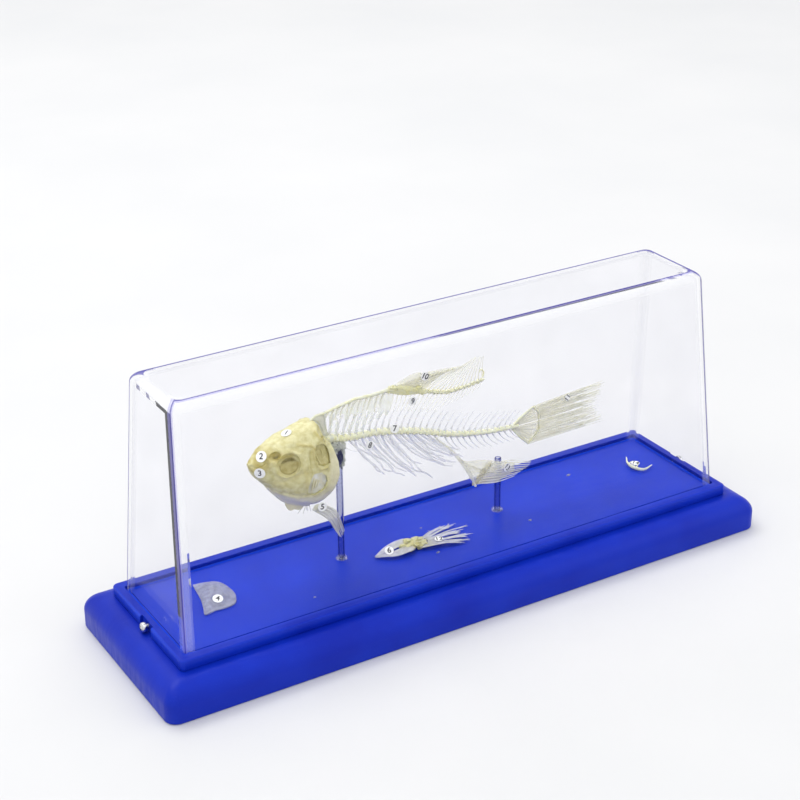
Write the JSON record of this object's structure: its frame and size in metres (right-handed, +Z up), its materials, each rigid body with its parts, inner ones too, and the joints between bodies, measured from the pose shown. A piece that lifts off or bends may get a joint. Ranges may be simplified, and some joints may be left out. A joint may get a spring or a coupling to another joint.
{
  "type": "mounted fish skeleton",
  "caption": "Still display specimen: a carp's skeleton held on rods over a blue tray, with loose fin, hip, throat and gill bones on the floor, under a clear cover with leaning sides.",
  "frame": {"origin": "middle of the tray's underside", "axes": "+X from the snout to the tail along the tray, +Z up, -Y the fish's left side"},
  "size_m": [0.3, 0.091, 0.124],
  "materials": {
    "tray": "satin",
    "cover": "gloss",
    "screw": "gloss",
    "rod": "gloss",
    "skull_bone": "satin",
    "spine_bone": "satin",
    "ray_bone": "satin",
    "loose_bone": "satin",
    "label": "matte"
  },
  "bodies": {
    "root": {"base": "tray", "cover": "cover", "screw_left": "screw", "screw_right": "screw", "rod_front": "rod", "rod_rear": "rod", "neurocranium": "skull_bone", "jaw_upper": "skull_bone", "jaw_lower": "skull_bone", "cheek_left": "skull_bone", "cheek_right": "skull_bone", "opercle_right": "skull_bone", "girdle_left": "skull_bone", "girdle_right": "skull_bone", "throat": "skull_bone", "pectoral_fin_left": "ray_bone", "pectoral_fin_right": "ray_bone", "spine_trunk": "spine_bone", "ribs_left": "ray_bone", "ribs_right": "ray_bone", "spine_tail": "spine_bone", "nape": "spine_bone", "dorsal_fin": "ray_bone", "anal_fin": "ray_bone", "tail_fin_upper": "ray_bone", "tail_fin_lower": "ray_bone", "opercle_left": "loose_bone", "pelvic_bones": "loose_bone", "pelvic_fin_left": "loose_bone", "pelvic_fin_right": "loose_bone", "pharyngeal_bone": "loose_bone"}
  },
  "joints": []
}
